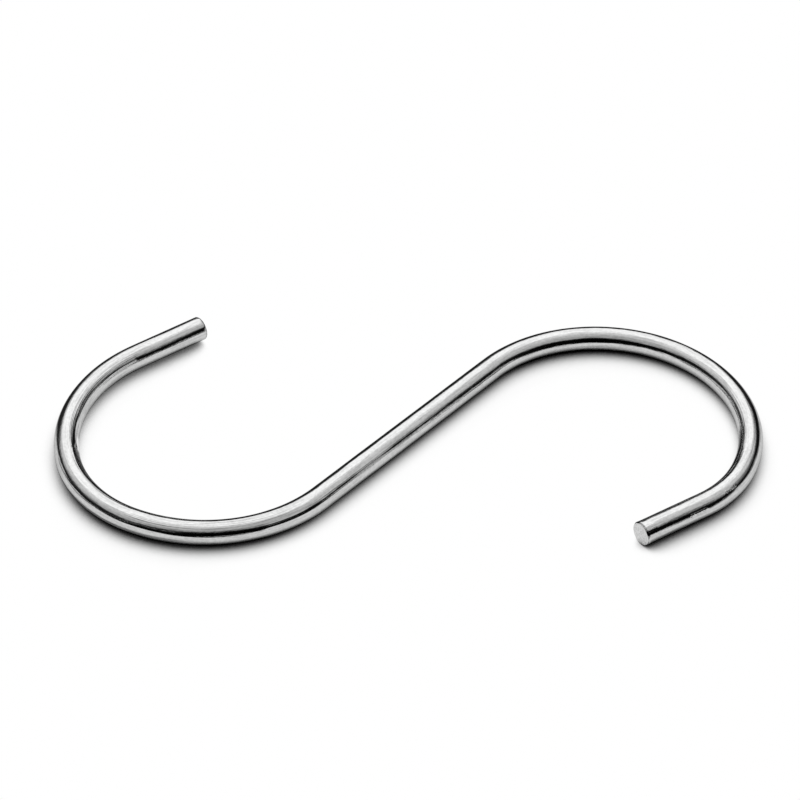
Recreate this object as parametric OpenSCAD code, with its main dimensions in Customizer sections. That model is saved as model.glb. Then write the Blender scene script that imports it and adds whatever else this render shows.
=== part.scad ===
// S hook bent from one length of bright round wire, lying flat on its side.
// +Z is up and +X runs along the hook. The middle of the shank is above the origin,
// and the wire rests on the plane z = 0.
// Every bend radius is measured to the wire's centre line.

/* [Wire] */
// Diameter of the round wire
wire_d = 5; // [3:0.5:8]
// Radius of the small rounding around each cut end
end_edge = 0.3; // [0.1:0.05:0.6]

/* [Shank] */
// Length of the straight shank between the two bends
shank_len = 52.5; // [30:0.5:120]
// Angle between the shank and the hook's long axis
shank_angle = 45; // [30:1:60]

/* [Left hook] */
// Bend radius beside the shank
left_root_r = 30.5; // [20:0.5:60]
// Angle turned beside the shank
left_root_angle = 76.5; // [65:0.1:80]
// Bend radius at the crown, where the load hangs
left_crown_r = 24.5; // [20:0.5:60]
// Angle turned at the crown
left_crown_angle = 52.8; // [45:0.1:60]
// Bend radius between the crown and the tip
left_lead_r = 31.5; // [20:0.5:60]
// Angle turned between the crown and the tip
left_lead_angle = 62.7; // [62:0.1:70]
// Length of the straight tip
left_tip_len = 16; // [5:0.5:30]

/* [Right hook] */
// Bend radius beside the shank
right_root_r = 30.5; // [20:0.5:60]
// Angle turned beside the shank
right_root_angle = 65.4; // [62:0.1:75]
// Bend radius at the crown, where the load hangs
right_crown_r = 28; // [20:0.5:60]
// Angle turned at the crown
right_crown_angle = 97.1; // [85:0.1:99]
// Bend radius between the crown and the tip
right_lead_r = 24.5; // [20:0.5:60]
// Angle turned between the crown and the tip
right_lead_angle = 32.7; // [25:0.1:40]
// Length of the straight tip
right_tip_len = 15.5; // [5:0.5:30]

/* [Hidden] */
$fn = 96;
wire_r = wire_d / 2;
left_bend = [
    [left_root_r, left_root_angle],
    [left_crown_r, left_crown_angle],
    [left_lead_r, left_lead_angle]
];
right_bend = [
    [right_root_r, right_root_angle],
    [right_crown_r, right_crown_angle],
    [right_lead_r, right_lead_angle]
];

// Each module below draws wire that starts at the origin and sets off along +X.

// Moves its children to the far end of an arc that turns clockwise, along the wire's direction there.
module after_arc(bend_r, bend_angle) {
    translate([0, -bend_r, 0])
        rotate([0, 0, -bend_angle])
            translate([0, bend_r, 0])
                children();
}

// Block that covers the part of a ring on one side of x = 0: behind it (-1) or ahead of it (1).
module ring_side(bend_r, side) {
    reach = bend_r + wire_d;
    translate([side * reach / 2, -bend_r, 0])
        cube([reach, 2 * reach, 2 * wire_d], center = true);
}

// One arc of wire that turns clockwise, towards -Y. It is cut from a whole ring with flat blocks,
// so that each end face lies exactly on the face of the piece that it joins.
module wire_arc(bend_r, bend_angle) {
    difference() {
        translate([0, -bend_r, 0])
            rotate_extrude()
                translate([bend_r, 0])
                    circle(d = wire_d);
        ring_side(bend_r, -1);
        after_arc(bend_r, bend_angle)
            ring_side(bend_r, 1);
    }
}

// Half section of a straight tip: the wire's radius by its length, with a round at the cut end.
module tip_section(tip_len) {
    square([wire_r, tip_len - end_edge]);
    square([wire_r - end_edge, tip_len]);
    translate([wire_r - end_edge, tip_len - end_edge])
        circle(r = end_edge);
}

// A straight tip that ends in a flat cut face.
module wire_tip(tip_len) {
    rotate([90, 0, 90])
        rotate_extrude()
            tip_section(tip_len);
}

// The arcs of one bend, drawn one after the other, and then the straight tip.
module arm(bend, tip_len, index = 0) {
    if (index < len(bend)) {
        bend_r = bend[index][0];
        bend_angle = bend[index][1];
        wire_arc(bend_r, bend_angle);
        after_arc(bend_r, bend_angle)
            arm(bend, tip_len, index + 1);
    } else {
        wire_tip(tip_len);
    }
}

module shank() {
    rotate([90, 0, 90])
        cylinder(d = wire_d, h = shank_len, center = true);
}

module hook() {
    color("silver")
        translate([0, 0, wire_r])
            rotate([0, 0, shank_angle]) {
                shank();
                translate([shank_len / 2, 0, 0])
                    arm(right_bend, right_tip_len);
                rotate([0, 0, 180])
                    translate([shank_len / 2, 0, 0])
                        arm(left_bend, left_tip_len);
            }
}

hook();
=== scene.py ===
"""An S hook bent from bright round wire, lying flat on a white table in soft studio light."""

import math

import bpy
from mathutils import Matrix, Vector, noise


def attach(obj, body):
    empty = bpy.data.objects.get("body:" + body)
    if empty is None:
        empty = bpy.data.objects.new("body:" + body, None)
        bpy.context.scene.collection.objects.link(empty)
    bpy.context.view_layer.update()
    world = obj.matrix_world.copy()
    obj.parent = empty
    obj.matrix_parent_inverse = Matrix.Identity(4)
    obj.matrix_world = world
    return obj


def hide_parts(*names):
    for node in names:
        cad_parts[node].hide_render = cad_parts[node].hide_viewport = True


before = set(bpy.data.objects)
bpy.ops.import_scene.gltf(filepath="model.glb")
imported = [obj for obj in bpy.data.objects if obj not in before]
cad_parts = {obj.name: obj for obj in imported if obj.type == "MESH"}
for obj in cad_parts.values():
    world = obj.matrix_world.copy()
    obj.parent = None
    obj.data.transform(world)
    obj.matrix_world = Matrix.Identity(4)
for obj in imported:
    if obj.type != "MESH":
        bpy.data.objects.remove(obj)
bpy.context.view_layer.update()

MM = 0.001

# The wire, with the CAD part's own sizes, in millimetres and degrees. Each bend is a list of
# (radius, angle turned) from the shank outwards.
WIRE_R = 2.5
END_EDGE = 0.3
SHANK_LEN = 52.5
SHANK_ANGLE = 45.0
LEFT_BEND = [(30.5, 76.5), (24.5, 52.8), (31.5, 62.7)]
LEFT_TIP_LEN = 16.0
RIGHT_BEND = [(30.5, 65.4), (28.0, 97.1), (24.5, 32.7)]
RIGHT_TIP_LEN = 15.5

# How finely the wire's skin is divided: points round it, mm between rings, rings on each rounded
# edge, and radii of the rings on each cut face as shares of its flat part's radius.
AROUND = 96
RING_STEP = 0.4
EDGE_RINGS = 6
CUT_RINGS = (0.9, 0.75, 0.55, 0.35, 0.15)

# The skin's slow waviness: how fast it changes along and round the wire, per mm, and its depth.
WAVE_ALONG = 0.13
WAVE_ROUND = 0.4
WAVE_DEPTH = 0.02
# The ragged rims of the cut ends: depth in mm, how lumpy they are, and how far apart in the noise
# the two ends take their lumps from.
BURR_DEPTH = 0.12
BURR_LUMPS = 1.6
BURR_PLACE = 9.0
# Flats, dents and the kink left by bending: middle and half length in mm along the wire from the
# middle of the shank, middle and half width in degrees round it, 90 being the top, and depth.
DENTS = [
    (-84.0, 6.5, 50.0, 26.0, 0.09),
    (-90.3, 1.2, 42.0, 16.0, 0.07),
    (-96.0, 6.0, 35.0, 15.0, 0.06),
    (-97.0, 9.0, 63.0, 15.0, 0.07),
    (-97.0, 10.0, 80.0, 28.0, 0.07),
    (-66.6, 1.0, 58.0, 20.0, 0.05),
    (98.5, 5.5, 50.0, 20.0, 0.03),
    (99.0, 8.0, 150.0, 40.0, 0.09),
    (128.0, 14.0, 36.0, 20.0, 0.022),
    (136.6, 1.4, 56.0, 22.0, 0.03),
]

# The camera: where it looks, from which side and how far off, how far it leans, and its lens, in
# mm and degrees. Azimuth 0 is the front. It shows things from CAM_NEAR to CAM_FAR metres away.
CAM_TARGET = (-0.393, 12.538, 0.0)
CAM_AZIMUTH = -6.404
CAM_ELEVATION = 41.299
CAM_ROLL = 2.852
CAM_DISTANCE = 662.0
CAM_LENS = 146.63
CAM_SENSOR = 36.0
CAM_NEAR = 0.01
CAM_FAR = 50.0


# ---------------------------------------------------------------- the wire's centre line


def arm_length(bend, tip_len):
    """Length of the wire from the middle of the shank to one end."""
    return SHANK_LEN / 2 + sum(math.radians(a) * r for r, a in bend) + tip_len


def arm_point(bend, s):
    """Place and heading at s mm from the middle of the shank, on an arm that turns clockwise.

    The shank lies along +X here, and the heading is the clockwise angle turned so far.
    """
    if s <= SHANK_LEN / 2:
        return s, 0.0, 0.0
    x, y, turned = SHANK_LEN / 2, 0.0, 0.0
    left_over = s - SHANK_LEN / 2
    for radius, degrees in bend:
        swing = min(math.radians(degrees), left_over / radius)
        cx = x - radius * math.sin(turned)
        cy = y - radius * math.cos(turned)
        turned += swing
        x = cx + radius * math.sin(turned)
        y = cy + radius * math.cos(turned)
        left_over -= swing * radius
    return x + left_over * math.cos(turned), y - left_over * math.sin(turned), turned


def wire_frame(s):
    """Place of the centre line and direction of its left-hand side at s, in the part's frame.

    s is in mm, and runs from the left end, which is negative, through 0 at the shank's middle.
    """
    if s >= 0:
        x, y, turned = arm_point(RIGHT_BEND, s)
    else:
        x, y, turned = arm_point(LEFT_BEND, -s)
        x, y = -x, -y
    heading = math.radians(SHANK_ANGLE) - turned
    cosine, sine = math.cos(math.radians(SHANK_ANGLE)), math.sin(math.radians(SHANK_ANGLE))
    place = Vector((x * cosine - y * sine, x * sine + y * cosine, WIRE_R))
    side = Vector((-math.sin(heading), math.cos(heading), 0))
    return place, side


LEFT_END = -arm_length(LEFT_BEND, LEFT_TIP_LEN)
RIGHT_END = arm_length(RIGHT_BEND, RIGHT_TIP_LEN)


# ---------------------------------------------------------------- the wire's skin


def end_rings():
    """(distance from the end, radius) of the rings that close one end, from the skin inwards."""
    rings = []
    for i in range(1, EDGE_RINGS + 1):
        bend = math.radians(90 * i / EDGE_RINGS)
        rings.append((END_EDGE * (1 - math.sin(bend)), WIRE_R - END_EDGE * (1 - math.cos(bend))))
    rings += [(0.0, (WIRE_R - END_EDGE) * share) for share in CUT_RINGS]
    return rings


def bell(x, middle, half):
    """1 at the middle, falling smoothly to 0 at half to either side."""
    t = abs(x - middle) / half
    return 0.0 if t >= 1 else math.cos(math.pi * t / 2) ** 2


def skin_radius(s, angle):
    """Radius of the wire at s mm along it and angle radians round it from its left-hand side."""
    u, v = WIRE_R * math.cos(angle), WIRE_R * math.sin(angle)
    wave = noise.noise(Vector((s * WAVE_ALONG, u * WAVE_ROUND, v * WAVE_ROUND)))
    depth = WAVE_DEPTH * (0.5 + 0.5 * wave)
    degrees = (math.degrees(angle) + 90) % 360 - 90  # the underside is where this starts again
    for middle, half, turned, half_turn, deep in DENTS:
        along = bell(s, middle, half)
        if along:
            depth += deep * along * bell(degrees, turned, half_turn)
    return WIRE_R - depth


def burr(s, angle):
    """How far a cut end's rim falls short of a true circle."""
    u, v = BURR_LUMPS * math.cos(angle), BURR_LUMPS * math.sin(angle)
    ragged = noise.noise(Vector((math.copysign(BURR_PLACE, s), u, v)))
    return BURR_DEPTH * (0.5 + 0.5 * ragged)


def skin_stations():
    """(place along the wire, radius) of its rings, left to right. None is the skin's own radius."""
    ends = end_rings()
    left = [(LEFT_END + back, radius) for back, radius in reversed(ends)]
    right = [(RIGHT_END - back, radius) for back, radius in ends]
    start = LEFT_END + END_EDGE
    length = RIGHT_END - LEFT_END - 2 * END_EDGE
    count = round(length / RING_STEP)
    return left + [(start + length * i / count, None) for i in range(count + 1)] + right


def skin_points(stations):
    """Points of the skin on the straightened wire: the rings', then the middles of the two ends."""
    points = []
    for s, radius in stations:
        for j in range(AROUND):
            angle = 2 * math.pi * j / AROUND
            r = skin_radius(s, angle) if radius is None else radius - burr(s, angle)
            points.append((s, r * math.cos(angle), r * math.sin(angle)))
    return points + [(LEFT_END, 0.0, 0.0), (RIGHT_END, 0.0, 0.0)]


def skin_faces(rings):
    """Faces between neighbouring rings, then a fan over each cut end."""
    faces = []
    for i in range(rings - 1):
        a, b = i * AROUND, (i + 1) * AROUND
        for j in range(AROUND):
            k = (j + 1) % AROUND
            faces.append((a + j, a + k, b + k, b + j))
    last = (rings - 1) * AROUND
    left_middle = rings * AROUND
    right_middle = left_middle + 1
    faces += [((j + 1) % AROUND, j, left_middle) for j in range(AROUND)]
    faces += [(last + j, last + (j + 1) % AROUND, right_middle) for j in range(AROUND)]
    return faces


def bent(s, across, up):
    """Where a point of the straightened wire, in mm, lies on the hook, in metres."""
    place, side = wire_frame(s)
    return ((place + side * across + Vector((0, 0, up))) * MM)[:]


def make_wire():
    """The whole hook as one closed skin, with each point's place on the straightened wire."""
    stations = skin_stations()
    straight = skin_points(stations)
    mesh = bpy.data.meshes.new("wire")
    mesh.from_pydata([bent(*point) for point in straight], [], skin_faces(len(stations)))
    mesh.validate()
    mesh.polygons.foreach_set("use_smooth", [True] * len(mesh.polygons))
    layer = mesh.attributes.new("straight", "FLOAT_VECTOR", "POINT")
    layer.data.foreach_set("vector", [part for point in straight for part in point])
    wire = bpy.data.objects.new("wire", mesh)
    bpy.context.scene.collection.objects.link(wire)
    return wire


# ---------------------------------------------------------------- node helpers


class Nodes:
    """A short way to write a node tree."""

    def __init__(self, tree):
        self.tree = tree
        tree.nodes.clear()

    def add(self, kind, inputs=None, **settings):
        node = self.tree.nodes.new(kind)
        for name, value in settings.items():
            setattr(node, name, value)
        for name, value in (inputs or {}).items():
            socket = node.inputs[name]
            if isinstance(value, bpy.types.NodeSocket):
                self.tree.links.new(value, socket)
            else:
                socket.default_value = value
        return node

    def math(self, operation, a, b=0.0, c=0.0):
        return self.add("ShaderNodeMath", {0: a, 1: b, 2: c}, operation=operation).outputs[0]

    def vector(self, operation, a, b=(0.0, 0.0, 0.0)):
        return self.add("ShaderNodeVectorMath", {0: a, 1: b}, operation=operation).outputs["Vector"]

    def dot(self, a, b):
        node = self.add("ShaderNodeVectorMath", {0: a, 1: b}, operation="DOT_PRODUCT")
        return node.outputs["Value"]

    def smooth(self, value, low, high, to_low=0.0, to_high=1.0):
        """to_low up to low, to_high from high on, and a smooth step between them."""
        inputs = {"Value": value, "From Min": low, "From Max": high, "To Min": to_low, "To Max": to_high}
        return self.add("ShaderNodeMapRange", inputs, interpolation_type="SMOOTHSTEP").outputs["Result"]

    def ramp(self, value, stops):
        """Straight lines between stops, which are (value, level)."""
        node = self.add("ShaderNodeValToRGB", {"Fac": value})
        ramp = node.color_ramp
        while len(ramp.elements) < len(stops):
            ramp.elements.new(0.5)
        for element, (place, level) in zip(ramp.elements, stops):
            element.position = place
            element.color = (level, level, level, 1)
        return node.outputs["Color"]

    def mix(self, share, a, b):
        node = self.add("ShaderNodeMix", {"Factor": share, "A": a, "B": b}, data_type="FLOAT")
        return node.outputs["Result"]

    def mix_shader(self, share, a, b):
        return self.add("ShaderNodeMixShader", {0: share, 1: a, 2: b}).outputs[0]


def direction(azimuth, elevation):
    """A unit vector. Azimuth 0 is +Y and 90 is +X; elevation is above the table."""
    a, e = math.radians(azimuth), math.radians(elevation)
    return Vector((math.sin(a) * math.cos(e), math.cos(a) * math.cos(e), math.sin(e)))


# ---------------------------------------------------------------- materials


# The clean metal's colour, how pale it is at grazing angles, and its roughness from clean to dull.
CLEAN = {"Red": 0.635, "Green": 0.637, "Blue": 0.635}
EDGE_TINT = 0.7
ROUGHNESS = (0.04, 0.1)
# Every pattern below is a noise, as how fast it changes along and round the wire, per mm, and its
# detail. A span is where in the noise a smooth step starts and ends.
DULL_PATTERN = (0.12, 0.7, 4.0)
DULL_SPAN = (0.4, 0.65)
# What darkens the metal a little, as (pattern, span, darkening): fine streaks, then mottling.
SHADES = [
    ((0.15, 3.0, 4.0), (0.42, 0.68), 0.10),
    ((1.4, 2.4, 3.0), (0.35, 0.65), 0.08),
]
# The skin's fine relief, as (pattern, height in mm).
DRAWN_LINES = ((0.04, 2.2, 2.0), 0.03)
CUT_GRAIN = ((0.0, 1.4, 3.0), 0.12)
SCUFF_PITS = ((2.6, 3.0, 3.0), 0.08)
GRAIN = ((1.6, 2.2, 2.0), 0.014)
DIMPLES = ((0.15, 0.8, 2.0), 0.05)
# The cut faces: where one gives way to the skin, in mm from the end, its extra roughness and how
# much paler it is. Then the broken dark rim round it: where that ends, its pattern and darkness.
CUT_END = (0.02, 0.14)
CUT_DULL = 0.22
CUT_PALE = 0.12
RIM_END = (0.25, 0.5)
RIM_PATTERN = (1.5, 0.9, 2.0)
RIM_SPAN = (0.3, 0.5)
RIM_DARK = 0.6
# Places that the bending tools rubbed, and places of painted reflection: (start, fade, end, fade)
# in mm along the wire, (start, end, fade) in degrees round it, how much stronger the drawn lines
# are, added roughness and the share of its brightness that is lost. That share is painted
# reflection: above 0 it darkens what the wire mirrors there, below 0 it lightens it.
RUBBED_AND_PAINTED_REFLECTION = [
    ((-122.0, 0.8, -102.0, 3.0), (32.0, 54.0, 6.0), 2.4, 0.12, 0.0),
    ((-122.0, 3.0, -92.0, 6.0), (58.0, 78.0, 10.0), 3.5, 0.02, 0.0),
    ((-93.0, 1.5, -90.0, 0.8), (0.0, 32.0, 8.0), 0.0, 0.0, -0.35),
    ((-98.5, 1.0, -91.0, 1.0), (48.0, 55.0, 3.0), 0.0, 0.0, 0.6),
    ((-88.5, 1.5, -76.0, 8.0), (30.0, 62.0, 10.0), 3.0, 0.05, 0.35),
    ((-81.0, 2.0, -70.0, 6.0), (56.0, 69.0, 5.0), 1.0, 0.0, 0.5),
    ((-78.0, 5.0, -68.0, 1.0), (36.0, 76.0, 6.0), 0.5, 0.0, 0.25),
    ((-27.0, 3.0, -9.0, 3.0), (130.0, 148.0, 8.0), 1.6, 0.09, 0.0),
    ((-39.0, 2.0, -33.0, 3.0), (136.0, 152.0, 8.0), 2.0, 0.05, 0.0),
    ((-86.0, 3.0, -58.0, 5.0), (148.0, 178.0, 10.0), 2.0, 0.03, 0.0),
    ((-64.0, 4.0, -36.0, 4.0), (92.0, 116.0, 8.0), 2.5, 0.0, 0.0),
    ((123.6, 0.8, 127.2, 0.8), (28.0, 34.0, 4.0), 1.2, 0.03, 0.0),
    ((118.0, 3.0, 137.0, 0.8), (35.0, 42.0, 4.0), 0.0, 0.0, 0.4),
    ((93.0, 3.0, 103.0, 2.0), (50.0, 66.0, 4.0), 0.0, 0.0, 0.5),
    ((105.0, 2.0, 115.0, 3.0), (45.0, 60.0, 5.0), 0.0, 0.0, 0.45),
    ((88.0, 4.0, 103.0, 2.0), (122.0, 150.0, 8.0), 1.5, 0.06, 0.0),
]
# Scuffed spots: (start, fade, end, fade) in mm along the wire and (start, end, fade) in degrees
# round it.
SCUFFED = [
    ((-89.6, 0.8, -88.0, 0.8), (65.0, 69.0, 3.0)),
    ((115.6, 0.8, 118.0, 0.8), (50.0, 58.0, 6.0)),
    ((123.8, 1.0, 127.0, 1.0), (22.0, 30.0, 8.0)),
    ((136.0, 0.8, 138.0, 0.6), (50.0, 70.0, 6.0)),
]


class WireNodes(Nodes):
    """The wire's material, with the place that each point has on the straightened wire."""

    def __init__(self, tree):
        super().__init__(tree)
        self.straight = self.add("ShaderNodeAttribute", attribute_name="straight").outputs["Vector"]
        parts = self.add("ShaderNodeSeparateXYZ", {0: self.straight}).outputs
        self.along = parts["X"]
        turn = self.math("MULTIPLY", self.math("ARCTAN2", parts["Y"], parts["Z"]), 180 / math.pi)
        self.turn = self.math("SUBTRACT", 90.0, turn)

    def noise(self, pattern):
        along, around, detail = pattern
        place = self.vector("MULTIPLY", self.straight, (along, around, around))
        inputs = {"Vector": place, "Scale": 1.0, "Detail": detail}
        return self.add("ShaderNodeTexNoise", inputs).outputs["Fac"]

    def patch(self, along, across):
        """1 in a place on the skin, fading to 0 outside it."""
        start, start_fade, end, end_fade = along
        low, high, fade = across
        here = self.smooth(self.along, start - start_fade, start)
        here = self.math("MULTIPLY", here, self.smooth(self.along, end, end + end_fade, 1.0, 0.0))
        here = self.math("MULTIPLY", here, self.smooth(self.turn, low - fade, low))
        return self.math("MULTIPLY", here, self.smooth(self.turn, high, high + fade, 1.0, 0.0))

    def dim(self, bright, where, share):
        """bright with a share of it lost at a place, or gained if the share is negative."""
        return self.math("MULTIPLY", bright, self.math("MULTIPLY_ADD", where, -share, 1.0))


def rubbed_and_painted_places(n):
    """Drawn lines' strength, roughness and painted brightness of the wire, away from its ends."""
    lined, bright = 1.0, 1.0
    rough = n.smooth(n.noise(DULL_PATTERN), *DULL_SPAN, *ROUGHNESS)
    for along, across, lines, dull, dark in RUBBED_AND_PAINTED_REFLECTION:
        here = n.patch(along, across)
        lined = n.math("MULTIPLY_ADD", here, lines, lined)
        rough = n.math("MULTIPLY_ADD", here, dull, rough)
        # Painted reflection: a share above 0 darkens what the wire mirrors here, a share below 0
        # lightens it.
        if dark:
            bright = n.dim(bright, here, dark)
    return lined, rough, bright


def cut_faces(n):
    """Where the cut faces are, and the narrow broken rims round them."""
    to_left = n.math("SUBTRACT", n.along, LEFT_END)
    to_right = n.math("SUBTRACT", RIGHT_END, n.along)
    to_end = n.math("MINIMUM", to_right, to_left)
    cut = n.smooth(to_end, *CUT_END, 1.0, 0.0)
    rim = n.math("SUBTRACT", n.smooth(to_end, *RIM_END, 1.0, 0.0), cut)
    return cut, n.math("MULTIPLY", rim, n.smooth(n.noise(RIM_PATTERN), *RIM_SPAN))


def fine_relief(n, lined, cut):
    """The bump of the drawn lines, cut faces, scuffed spots, grain and dimples."""
    scuffed = 0.0
    for along, across in SCUFFED:
        scuffed = n.math("ADD", scuffed, n.patch(along, across))
    height = 0.0
    parts = [(DRAWN_LINES, lined), (CUT_GRAIN, cut), (SCUFF_PITS, scuffed), (GRAIN, 1.0), (DIMPLES, 1.0)]
    for (pattern, high), strength in parts:
        relief = n.math("MULTIPLY", n.noise(pattern), strength)
        height = n.math("MULTIPLY_ADD", relief, high, height)
    bump = n.add("ShaderNodeBump", {"Strength": 1.0, "Distance": MM, "Height": height})
    return bump.outputs["Normal"]


def bright_wire():
    """Bright drawn wire: fine lines along it, a slight grain, rubbed places where it was bent,
    and painted reflection, darker or lighter, in places.
    """
    material = bpy.data.materials.new("bright_wire")
    material.use_nodes = True
    n = WireNodes(material.node_tree)
    # bright carries the painted reflection, darker or lighter in places.
    lined, rough, bright = rubbed_and_painted_places(n)
    cut, rim = cut_faces(n)
    rough = n.math("MULTIPLY_ADD", cut, CUT_DULL, rough)
    bright = n.dim(bright, cut, -CUT_PALE)
    bright = n.dim(bright, rim, RIM_DARK)

    shade = 0.0
    for pattern, span, dark in SHADES:
        shade = n.math("MULTIPLY_ADD", n.smooth(n.noise(pattern), *span), dark, shade)
    colour = {}
    for name, clean in CLEAN.items():
        colour[name] = n.math("MULTIPLY", n.math("SUBTRACT", clean, shade), bright)
    colour = n.add("ShaderNodeCombineColor", colour)
    edge = n.math("MULTIPLY", bright, EDGE_TINT)
    edge = n.add("ShaderNodeCombineColor", {"Red": edge, "Green": edge, "Blue": edge})
    inputs = {
        "Base Color": colour.outputs[0],
        "Metallic": 1.0,
        "Roughness": rough,
        "Specular Tint": edge.outputs[0],
        "Normal": fine_relief(n, lined, cut),
    }
    shader = n.add("ShaderNodeBsdfPrincipled", inputs)
    n.add("ShaderNodeOutputMaterial", {"Surface": shader.outputs["BSDF"]})
    return material


# The white that the table and the surroundings show as, and the table's own colour.
WHITE = (1, 1, 1, 1)
CARD = (0.9, 0.9, 0.9, 1)
# The table's soft shadow: the middle of the light that the hook hides, and how near a thing has
# to be to shade the table, in mm. Then the table's brightness by the share of that light which
# reaches it, as (share, brightness), first as the camera sees it and then as the wire mirrors it.
SHADE_LIGHT = (9.0, 165.0, 331.0)
SHADE_REACH = 30.0
SHADE_SAMPLES = 16
SEEN_SHADE = [
    (0.12, 0.0), (0.22, 0.04), (0.3, 0.165), (0.4, 0.36),
    (0.5, 0.595), (0.6, 0.825), (0.68, 0.965), (0.74, 1.0),
]
MIRRORED_SHADE = [(0.355, 0.0), (0.5, 0.30), (0.7, 0.88), (0.82, 1.0)]


def light_share(n):
    """The share of a light at SHADE_LIGHT that reaches each point of the table."""
    place = n.add("ShaderNodeNewGeometry").outputs["Position"]
    light = tuple(v * MM for v in SHADE_LIGHT)
    to_light = n.vector("NORMALIZE", n.vector("SUBTRACT", light, place))
    inputs = {"Distance": SHADE_REACH * MM, "Normal": to_light}
    return n.add("ShaderNodeAmbientOcclusion", inputs, samples=SHADE_SAMPLES).outputs["AO"]


def white_table():
    """Matt white card that shows as pure white, with the hook's soft shadow on it."""
    material = bpy.data.materials.new("white_table")
    material.use_nodes = True
    n = Nodes(material.node_tree)
    share = light_share(n)
    paths = n.add("ShaderNodeLightPath").outputs
    surface = n.add("ShaderNodeBsdfDiffuse", {"Color": CARD}).outputs[0]
    shown = n.add("ShaderNodeEmission", {"Color": WHITE, "Strength": n.ramp(share, SEEN_SHADE)})
    mirrored = n.add("ShaderNodeBsdfTransparent", {"Color": n.ramp(share, MIRRORED_SHADE)})
    rays = (("Is Camera Ray", shown), ("Is Transmission Ray", shown), ("Is Glossy Ray", mirrored))
    for ray, shader in rays:
        surface = n.mix_shader(paths[ray], surface, shader.outputs[0])
    n.add("ShaderNodeOutputMaterial", {"Surface": surface})
    return material


# ---------------------------------------------------------------- the studio

# The surroundings that the wire mirrors are a pale room that darkens towards the camera, with one
# large softbox behind the hook. Angles are in degrees, and azimuth 0 is behind the hook.

# The room's level half way round, and what is added to it at the back and taken off at the front,
# as (elevation, level).
ROOM_BACK_AZIMUTH = -2.0
ROOM_LEVEL = [(0, 0.58), (30, 0.62), (45, 0.73), (55, 0.79), (65, 0.87), (75, 0.935), (90, 0.945)]
ROOM_SLOPE = [(0, 0.3), (45, 0.28), (55, 0.27), (65, 0.24), (75, 0.18), (90, 0.0)]
# The room's lit part begins at this height all round, as (azimuth, elevation), and fades in over
# ROOM_EDGE_SOFT to either side of it.
ROOM_EDGE = [
    (-180, 48), (-150, 44), (-105, 36), (-75, 31), (-60, 27), (-45, 21), (-30, 18), (-15, 18), (0, 22),
    (30, 28), (45, 32.5), (60, 31.5), (72, 29.5), (85, 30), (95, 35.5), (105, 37), (135, 42),
    (165, 50), (180, 48),
]
ROOM_EDGE_SOFT = 10.0
# Below that edge a little light is left, as (azimuth, level).
ROOM_DIM = [
    (-180, 0.0), (-130, 0.005), (-100, 0.012), (-55, 0.03), (0, 0.026), (60, 0.014), (100, 0.008),
    (140, 0.002), (180, 0.0),
]
# The softbox, with its half sizes as (where it begins to fade, where it ends) on a plane at a
# distance of 1.
SOFTBOX_AZIMUTH = -2.0
SOFTBOX_ELEVATION = 48.0
SOFTBOX_HALF_WIDTH = (0.25, 0.56)
SOFTBOX_HALF_HEIGHT = (0.38, 0.68)
SOFTBOX_LEVEL = 1.54
# Where the pale table top ends in the mirrored picture, as (azimuth, elevation).
SKYLINE = [
    (-180, -1), (-150, 0), (-100, 6), (-60, 6), (-48, -1), (-38, -12), (-30, -24), (-15, -32),
    (-5, -30), (5, -26), (25, -18), (45, -5), (65, 7), (90, 9), (115, 3), (135, -3), (180, -1),
]
SKYLINE_SOFT = 7.0
# The light on the table: a soft lamp, and a faint fill from all round.
LAMP_AZIMUTH = -40.0
LAMP_ELEVATION = 81.0
LAMP_LEVEL = 0.9
LAMP_SPREAD = 78.0
FILL_LEVEL = 0.15
# Keeps the softbox's plane from being divided by 0 to the side of it.
NEARLY_SIDEWAYS = 0.02


class StudioNodes(Nodes):
    """The world's nodes, with azimuth as a share of a turn from the front, and elevation / 90."""

    def __init__(self, tree):
        super().__init__(tree)
        self.way = self.add("ShaderNodeTexCoord").outputs["Generated"]
        parts = self.add("ShaderNodeSeparateXYZ", {0: self.way}).outputs
        azimuth = self.math("DIVIDE", self.math("ARCTAN2", parts["X"], parts["Y"]), 2 * math.pi)
        self.azimuth = self.math("ADD", azimuth, 0.5)
        self.elevation = self.math("MULTIPLY", self.math("ARCSINE", parts["Z"]), 2 / math.pi)

    def by_elevation(self, stops):
        return self.ramp(self.elevation, [(e / 90, level) for e, level in stops])

    def by_azimuth(self, stops):
        return self.ramp(self.azimuth, [(a / 360 + 0.5, level) for a, level in stops])

    def above(self, heights, soft):
        """0 below a line that runs all round, 1 above it, fading over soft degrees each way.

        A ramp holds nothing below 0, so the line's goes from 0 straight down to 1 straight up.
        """
        line = self.by_azimuth([(a, (e + 90) / 180) for a, e in heights])
        over = self.math("ADD", self.math("MULTIPLY_ADD", line, -2.0, self.elevation), 1.0)
        return self.smooth(over, -soft / 90, soft / 90)


def room_light(n):
    """The pale room, dim below its edge."""
    flat = n.vector("NORMALIZE", n.vector("MULTIPLY", n.way, (1, 1, 0)))
    back = n.dot(flat, direction(ROOM_BACK_AZIMUTH, 0))
    level = n.math("MULTIPLY_ADD", n.by_elevation(ROOM_SLOPE), back, n.by_elevation(ROOM_LEVEL))
    return n.mix(n.above(ROOM_EDGE, ROOM_EDGE_SOFT), n.by_azimuth(ROOM_DIM), level)


def in_softbox(n):
    """1 in the softbox, fading to 0 at its sides."""
    ahead = n.dot(n.way, direction(SOFTBOX_AZIMUTH, SOFTBOX_ELEVATION))
    ahead = n.math("MAXIMUM", ahead, NEARLY_SIDEWAYS)
    inside = 1.0
    across = direction(SOFTBOX_AZIMUTH + 90, 0)
    upward = direction(SOFTBOX_AZIMUTH, SOFTBOX_ELEVATION + 90)
    for axis, half in ((across, SOFTBOX_HALF_WIDTH), (upward, SOFTBOX_HALF_HEIGHT)):
        aside = n.math("ABSOLUTE", n.math("DIVIDE", n.dot(n.way, axis), ahead))
        inside = n.math("MULTIPLY", n.smooth(aside, *half, 1.0, 0.0), inside)
    return inside


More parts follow.
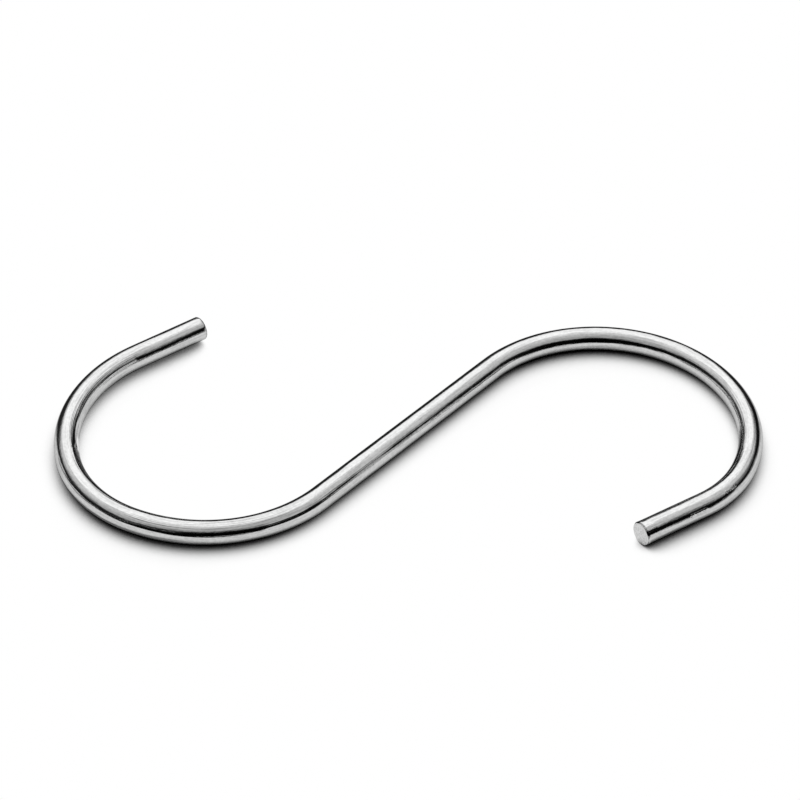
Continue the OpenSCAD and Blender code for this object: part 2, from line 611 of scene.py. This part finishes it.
def make_world():
    """White to the camera, the room in the wire's mirror, and a faint fill for the table."""
    world = bpy.data.worlds.new("studio")
    world.use_nodes = True
    bpy.context.scene.world = world
    n = StudioNodes(world.node_tree)
    light = n.mix(in_softbox(n), room_light(n), SOFTBOX_LEVEL)
    light = n.mix(n.above(SKYLINE, SKYLINE_SOFT), 1.0, light)

    def background(strength):
        return n.add("ShaderNodeBackground", {"Color": WHITE, "Strength": strength}).outputs[0]

    paths = n.add("ShaderNodeLightPath").outputs
    unseen = n.mix_shader(paths["Is Glossy Ray"], background(FILL_LEVEL), background(light))
    both = n.mix_shader(paths["Is Camera Ray"], unseen, background(1.0))
    n.add("ShaderNodeOutputWorld", {"Surface": both})


def make_lamp():
    """A broad soft lamp above the table. The wire doesn't mirror it."""
    light = bpy.data.lights.new("lamp", "SUN")
    light.angle = math.radians(LAMP_SPREAD)
    # A white card lying on the table gets LAMP_LEVEL from it.
    light.energy = LAMP_LEVEL * math.pi / math.sin(math.radians(LAMP_ELEVATION))
    lamp = bpy.data.objects.new("lamp", light)
    lamp.rotation_euler = direction(LAMP_AZIMUTH, LAMP_ELEVATION).to_track_quat("Z", "Y").to_euler()
    lamp.visible_glossy = False
    bpy.context.scene.collection.objects.link(lamp)


# The real hook's left tip seems to stand a little clear of its table. The modelled wire is flat,
# so the table sinks there: middle, radius of its flat floor, outer radius and depth, in mm.
HOLLOW_X, HOLLOW_Y = -50.0, 27.0
HOLLOW_FLOOR = 14.0
HOLLOW_RADIUS = 50.0
HOLLOW_DEPTH = 0.5
# The table's half size, and how far apart and how many its lines are to each side of its middle.
TABLE_HALF = 6000.0
TABLE_STEP = 4.0
TABLE_LINES = 30


def table_height(x, y):
    """Height of the table in mm at a place given in mm."""
    t = (math.hypot(x - HOLLOW_X, y - HOLLOW_Y) - HOLLOW_FLOOR) / (HOLLOW_RADIUS - HOLLOW_FLOOR)
    t = min(max(t, 0.0), 1.0)
    return -HOLLOW_DEPTH * (1 - t * t * (3 - 2 * t))


def make_table():
    """A wide flat table, finely divided round the hook, with the hollow under its left tip."""
    fine = [TABLE_STEP * i for i in range(-TABLE_LINES, TABLE_LINES + 1)]
    lines = [-TABLE_HALF, *fine, TABLE_HALF]
    points = [(x * MM, y * MM, table_height(x, y) * MM) for y in lines for x in lines]
    faces = []
    for i in range(len(lines) - 1):
        for j in range(len(lines) - 1):
            a = i * len(lines) + j
            faces.append((a, a + 1, a + 1 + len(lines), a + len(lines)))
    mesh = bpy.data.meshes.new("table")
    mesh.from_pydata(points, [], faces)
    mesh.polygons.foreach_set("use_smooth", [True] * len(faces))
    table = bpy.data.objects.new("table", mesh)
    table.data.materials.append(white_table())
    bpy.context.scene.collection.objects.link(table)


def make_camera():
    """The photo's camera. It leans, so its axes are worked out rather than tracked."""
    camera = bpy.data.objects.new("camera", bpy.data.cameras.new("camera"))
    a, e = math.radians(CAM_AZIMUTH), math.radians(CAM_ELEVATION)
    back = Vector((math.sin(a) * math.cos(e), -math.cos(a) * math.cos(e), math.sin(e)))
    right = Vector((math.cos(a), math.sin(a), 0))
    up = back.cross(right)
    lean = math.radians(CAM_ROLL)
    across = right * math.cos(lean) + up * math.sin(lean)
    above = up * math.cos(lean) - right * math.sin(lean)
    turn = Matrix((across, above, back)).transposed().to_4x4()
    place = (Vector(CAM_TARGET) + back * CAM_DISTANCE) * MM
    camera.matrix_world = Matrix.Translation(place) @ turn
    camera.data.lens = CAM_LENS
    camera.data.sensor_width = CAM_SENSOR
    camera.data.clip_start = CAM_NEAR
    camera.data.clip_end = CAM_FAR
    bpy.context.scene.collection.objects.link(camera)
    bpy.context.scene.camera = camera


# ---------------------------------------------------------------- the scene

bpy.context.scene.view_settings.view_transform = "Standard"
make_camera()
make_world()
make_lamp()
make_table()

wire = make_wire()
wire.data.materials.append(bright_wire())
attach(wire, "root")
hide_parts("hook")
